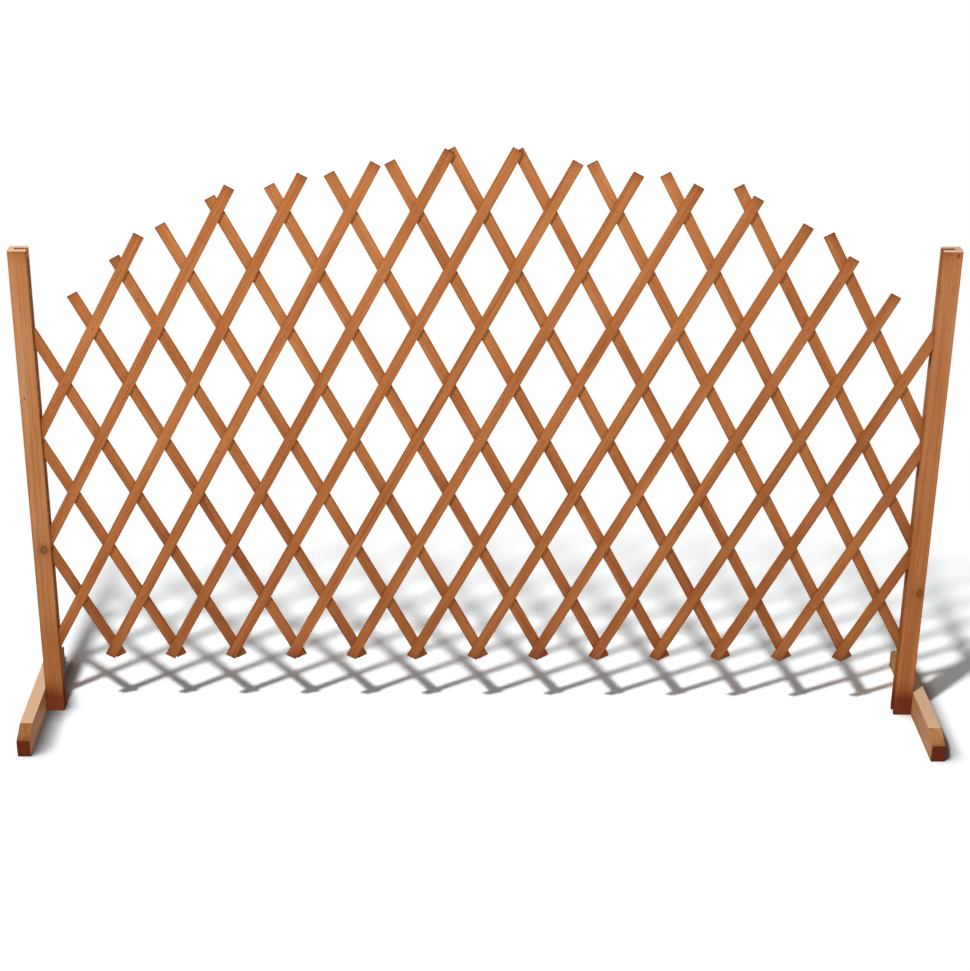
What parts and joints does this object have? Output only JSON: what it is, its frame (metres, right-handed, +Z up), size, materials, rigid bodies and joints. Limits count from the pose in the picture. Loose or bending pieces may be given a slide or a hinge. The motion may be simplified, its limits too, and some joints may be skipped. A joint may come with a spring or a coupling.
{
  "type": "trellis panel",
  "caption": "Arched expanding trellis of crossed wooden slats between two grooved posts, each on a foot block; the slats pivot on pins and fold like scissors.",
  "frame": {"origin": "on the ground, midway between the two posts and midway front to back", "axes": "+X across the trellis to the right, +Y from its front to its back, +Z up"},
  "size_m": [1.852, 0.396, 1.1953],
  "materials": {
    "post_wood": "satin orange-brown stain on planed softwood",
    "foot_wood": "satin orange-brown stain on planed softwood, darker end grain",
    "slat_wood": "satin orange-brown stain on sawn and planed softwood",
    "pin_steel": "dull steel dipped in the stain",
    "fastener_steel": "zinc plated"
  },
  "bodies": {
    "left_post": {"left_post": "post_wood", "left_foot": "foot_wood", "left_foot_screws": "fastener_steel", "left_pivot_nail": "fastener_steel"},
    "front_slat_01": {"front_slat_01": "slat_wood", "slat_pins_01": "pin_steel"},
    "front_slat_02": {"front_slat_02": "slat_wood", "slat_pins_02": "pin_steel"},
    "front_slat_03": {"front_slat_03": "slat_wood", "slat_pins_03": "pin_steel"},
    "front_slat_04": {"front_slat_04": "slat_wood", "slat_pins_04": "pin_steel"},
    "front_slat_05": {"front_slat_05": "slat_wood", "slat_pins_05": "pin_steel"},
    "front_slat_06": {"front_slat_06": "slat_wood", "slat_pins_06": "pin_steel"},
    "front_slat_07": {"front_slat_07": "slat_wood", "slat_pins_07": "pin_steel"},
    "front_slat_08": {"front_slat_08": "slat_wood", "slat_pins_08": "pin_steel"},
    "front_slat_09": {"front_slat_09": "slat_wood", "slat_pins_09": "pin_steel"},
    "front_slat_10": {"front_slat_10": "slat_wood", "slat_pins_10": "pin_steel"},
    "front_slat_11": {"front_slat_11": "slat_wood", "slat_pins_11": "pin_steel"},
    "front_slat_12": {"front_slat_12": "slat_wood", "slat_pins_12": "pin_steel"},
    "front_slat_13": {"front_slat_13": "slat_wood", "slat_pins_13": "pin_steel"},
    "front_slat_14": {"front_slat_14": "slat_wood", "slat_pins_14": "pin_steel"},
    "front_slat_15": {"front_slat_15": "slat_wood", "slat_pins_15": "pin_steel"},
    "front_slat_16": {"front_slat_16": "slat_wood", "slat_pins_16": "pin_steel"},
    "rear_slat_01": {"rear_slat_01": "slat_wood"},
    "rear_slat_02": {"rear_slat_02": "slat_wood"},
    "rear_slat_03": {"rear_slat_03": "slat_wood"},
    "rear_slat_04": {"rear_slat_04": "slat_wood"},
    "rear_slat_05": {"rear_slat_05": "slat_wood"},
    "rear_slat_06": {"rear_slat_06": "slat_wood"},
    "rear_slat_07": {"rear_slat_07": "slat_wood"},
    "rear_slat_08": {"rear_slat_08": "slat_wood"},
    "rear_slat_09": {"rear_slat_09": "slat_wood"},
    "rear_slat_10": {"rear_slat_10": "slat_wood"},
    "rear_slat_11": {"rear_slat_11": "slat_wood"},
    "rear_slat_12": {"rear_slat_12": "slat_wood"},
    "rear_slat_13": {"rear_slat_13": "slat_wood"},
    "rear_slat_14": {"rear_slat_14": "slat_wood"},
    "rear_slat_15": {"rear_slat_15": "slat_wood"},
    "rear_slat_16": {"rear_slat_16": "slat_wood"},
    "right_post": {"right_post": "post_wood", "right_foot": "foot_wood", "right_foot_screws": "fastener_steel", "right_pivot_nail": "fastener_steel"}
  },
  "joints": [
    {"name": "trellis_fold", "type": "hinge", "parent": "left_post", "child": "front_slat_03", "pos_m": [-0.87447, 0, 0.145], "axis": [0, -1, 0], "range_deg": [0, 23]},
    {"name": "hinge_rear_slat_08", "type": "hinge", "parent": "front_slat_03", "child": "rear_slat_08", "pos_m": [-0.37477, 0, 1.073], "axis": [0, 1, 0], "range_deg": [0, 46]},
    {"name": "hinge_front_slat_11", "type": "hinge", "parent": "rear_slat_08", "child": "front_slat_11", "pos_m": [0.12492, 0, 0.145], "axis": [0, -1, 0], "range_deg": [0, 46]},
    {"name": "hinge_rear_slat_14", "type": "hinge", "parent": "front_slat_11", "child": "rear_slat_14", "pos_m": [0.4997, 0, 0.841], "axis": [0, 1, 0], "range_deg": [0, 46]},
    {"name": "hinge_right_post", "type": "hinge", "parent": "rear_slat_14", "child": "right_post", "pos_m": [0.87447, 0, 0.145], "axis": [0, -1, 0], "range_deg": [0, 23]},
    {"name": "hinge_rear_slat_01", "type": "hinge", "parent": "front_slat_03", "child": "rear_slat_01", "pos_m": [-0.81201, 0, 0.261], "axis": [0, 1, 0], "range_deg": [0, 46]},
    {"name": "hinge_rear_slat_02", "type": "hinge", "parent": "front_slat_03", "child": "rear_slat_02", "pos_m": [-0.74955, 0, 0.377], "axis": [0, 1, 0], "range_deg": [0, 46]},
    {"name": "hinge_rear_slat_03", "type": "hinge", "parent": "front_slat_03", "child": "rear_slat_03", "pos_m": [-0.68708, 0, 0.493], "axis": [0, 1, 0], "range_deg": [0, 46]},
    {"name": "hinge_rear_slat_04", "type": "hinge", "parent": "front_slat_03", "child": "rear_slat_04", "pos_m": [-0.62462, 0, 0.609], "axis": [0, 1, 0], "range_deg": [0, 46]},
    {"name": "hinge_rear_slat_05", "type": "hinge", "parent": "front_slat_03", "child": "rear_slat_05", "pos_m": [-0.56216, 0, 0.725], "axis": [0, 1, 0], "range_deg": [0, 46]},
    {"name": "hinge_rear_slat_06", "type": "hinge", "parent": "front_slat_03", "child": "rear_slat_06", "pos_m": [-0.4997, 0, 0.841], "axis": [0, 1, 0], "range_deg": [0, 46]},
    {"name": "hinge_rear_slat_07", "type": "hinge", "parent": "front_slat_03", "child": "rear_slat_07", "pos_m": [-0.43723, 0, 0.957], "axis": [0, 1, 0], "range_deg": [0, 46]},
    {"name": "hinge_front_slat_04", "type": "hinge", "parent": "rear_slat_08", "child": "front_slat_04", "pos_m": [-0.31231, 0, 0.957], "axis": [0, -1, 0], "range_deg": [0, 46]},
    {"name": "hinge_front_slat_05", "type": "hinge", "parent": "rear_slat_08", "child": "front_slat_05", "pos_m": [-0.24985, 0, 0.841], "axis": [0, -1, 0], "range_deg": [0, 46]},
    {"name": "hinge_front_slat_06", "type": "hinge", "parent": "rear_slat_08", "child": "front_slat_06", "pos_m": [-0.18739, 0, 0.725], "axis": [0, -1, 0], "range_deg": [0, 46]},
    {"name": "hinge_front_slat_07", "type": "hinge", "parent": "rear_slat_08", "child": "front_slat_07", "pos_m": [-0.12492, 0, 0.609], "axis": [0, -1, 0], "range_deg": [0, 46]},
    {"name": "hinge_front_slat_08", "type": "hinge", "parent": "rear_slat_08", "child": "front_slat_08", "pos_m": [-0.06246, 0, 0.493], "axis": [0, -1, 0], "range_deg": [0, 46]},
    {"name": "hinge_front_slat_09", "type": "hinge", "parent": "rear_slat_08", "child": "front_slat_09", "pos_m": [0, 0, 0.377], "axis": [0, -1, 0], "range_deg": [0, 46]},
    {"name": "hinge_front_slat_10", "type": "hinge", "parent": "rear_slat_08", "child": "front_slat_10", "pos_m": [0.06246, 0, 0.261], "axis": [0, -1, 0], "range_deg": [0, 46]},
    {"name": "hinge_rear_slat_09", "type": "hinge", "parent": "front_slat_11", "child": "rear_slat_09", "pos_m": [0.18739, 0, 0.261], "axis": [0, 1, 0], "range_deg": [0, 46]},
    {"name": "hinge_rear_slat_10", "type": "hinge", "parent": "front_slat_11", "child": "rear_slat_10", "pos_m": [0.24985, 0, 0.377], "axis": [0, 1, 0], "range_deg": [0, 46]},
    {"name": "hinge_rear_slat_11", "type": "hinge", "parent": "front_slat_11", "child": "rear_slat_11", "pos_m": [0.31231, 0, 0.493], "axis": [0, 1, 0], "range_deg": [0, 46]},
    {"name": "hinge_rear_slat_12", "type": "hinge", "parent": "front_slat_11", "child": "rear_slat_12", "pos_m": [0.37477, 0, 0.609], "axis": [0, 1, 0], "range_deg": [0, 46]},
    {"name": "hinge_rear_slat_13", "type": "hinge", "parent": "front_slat_11", "child": "rear_slat_13", "pos_m": [0.43723, 0, 0.725], "axis": [0, 1, 0], "range_deg": [0, 46]},
    {"name": "hinge_rear_slat_15", "type": "hinge", "parent": "front_slat_11", "child": "rear_slat_15", "pos_m": [0.56216, 0, 0.957], "axis": [0, 1, 0], "range_deg": [0, 46]},
    {"name": "hinge_front_slat_12", "type": "hinge", "parent": "rear_slat_14", "child": "front_slat_12", "pos_m": [0.56216, 0, 0.725], "axis": [0, -1, 0], "range_deg": [0, 46]},
    {"name": "hinge_front_slat_13", "type": "hinge", "parent": "rear_slat_14", "child": "front_slat_13", "pos_m": [0.62462, 0, 0.609], "axis": [0, -1, 0], "range_deg": [0, 46]},
    {"name": "hinge_front_slat_14", "type": "hinge", "parent": "rear_slat_14", "child": "front_slat_14", "pos_m": [0.68708, 0, 0.493], "axis": [0, -1, 0], "range_deg": [0, 46]},
    {"name": "hinge_front_slat_15", "type": "hinge", "parent": "rear_slat_14", "child": "front_slat_15", "pos_m": [0.74955, 0, 0.377], "axis": [0, -1, 0], "range_deg": [0, 46]},
    {"name": "hinge_front_slat_16", "type": "hinge", "parent": "rear_slat_14", "child": "front_slat_16", "pos_m": [0.81201, 0, 0.261], "axis": [0, -1, 0], "range_deg": [0, 46]},
    {"name": "hinge_front_slat_02", "type": "hinge", "parent": "rear_slat_05", "child": "front_slat_02", "pos_m": [-0.62462, 0, 0.841], "axis": [0, -1, 0], "range_deg": [0, 46]},
    {"name": "hinge_front_slat_01", "type": "hinge", "parent": "rear_slat_05", "child": "front_slat_01", "pos_m": [-0.68708, 0, 0.957], "axis": [0, -1, 0], "range_deg": [0, 46]},
    {"name": "hinge_rear_slat_16", "type": "hinge", "parent": "front_slat_12", "child": "rear_slat_16", "pos_m": [0.68708, 0, 0.957], "axis": [0, 1, 0], "range_deg": [0, 46]}
  ],
  "couplings": [
    {"joint": "hinge_rear_slat_08", "follows": "trellis_fold", "ratio": 2},
    {"joint": "hinge_front_slat_11", "follows": "trellis_fold", "ratio": 2},
    {"joint": "hinge_rear_slat_14", "follows": "trellis_fold", "ratio": 2},
    {"joint": "hinge_right_post", "follows": "trellis_fold", "ratio": 1},
    {"joint": "hinge_rear_slat_01", "follows": "trellis_fold", "ratio": 2},
    {"joint": "hinge_rear_slat_02", "follows": "trellis_fold", "ratio": 2},
    {"joint": "hinge_rear_slat_03", "follows": "trellis_fold", "ratio": 2},
    {"joint": "hinge_rear_slat_04", "follows": "trellis_fold", "ratio": 2},
    {"joint": "hinge_rear_slat_05", "follows": "trellis_fold", "ratio": 2},
    {"joint": "hinge_rear_slat_06", "follows": "trellis_fold", "ratio": 2},
    {"joint": "hinge_rear_slat_07", "follows": "trellis_fold", "ratio": 2},
    {"joint": "hinge_front_slat_04", "follows": "trellis_fold", "ratio": 2},
    {"joint": "hinge_front_slat_05", "follows": "trellis_fold", "ratio": 2},
    {"joint": "hinge_front_slat_06", "follows": "trellis_fold", "ratio": 2},
    {"joint": "hinge_front_slat_07", "follows": "trellis_fold", "ratio": 2},
    {"joint": "hinge_front_slat_08", "follows": "trellis_fold", "ratio": 2},
    {"joint": "hinge_front_slat_09", "follows": "trellis_fold", "ratio": 2},
    {"joint": "hinge_front_slat_10", "follows": "trellis_fold", "ratio": 2},
    {"joint": "hinge_rear_slat_09", "follows": "trellis_fold", "ratio": 2},
    {"joint": "hinge_rear_slat_10", "follows": "trellis_fold", "ratio": 2},
    {"joint": "hinge_rear_slat_11", "follows": "trellis_fold", "ratio": 2},
    {"joint": "hinge_rear_slat_12", "follows": "trellis_fold", "ratio": 2},
    {"joint": "hinge_rear_slat_13", "follows": "trellis_fold", "ratio": 2},
    {"joint": "hinge_rear_slat_15", "follows": "trellis_fold", "ratio": 2},
    {"joint": "hinge_front_slat_12", "follows": "trellis_fold", "ratio": 2},
    {"joint": "hinge_front_slat_13", "follows": "trellis_fold", "ratio": 2},
    {"joint": "hinge_front_slat_14", "follows": "trellis_fold", "ratio": 2},
    {"joint": "hinge_front_slat_15", "follows": "trellis_fold", "ratio": 2},
    {"joint": "hinge_front_slat_16", "follows": "trellis_fold", "ratio": 2},
    {"joint": "hinge_front_slat_02", "follows": "trellis_fold", "ratio": 2},
    {"joint": "hinge_front_slat_01", "follows": "trellis_fold", "ratio": 2},
    {"joint": "hinge_rear_slat_16", "follows": "trellis_fold", "ratio": 2}
  ]
}
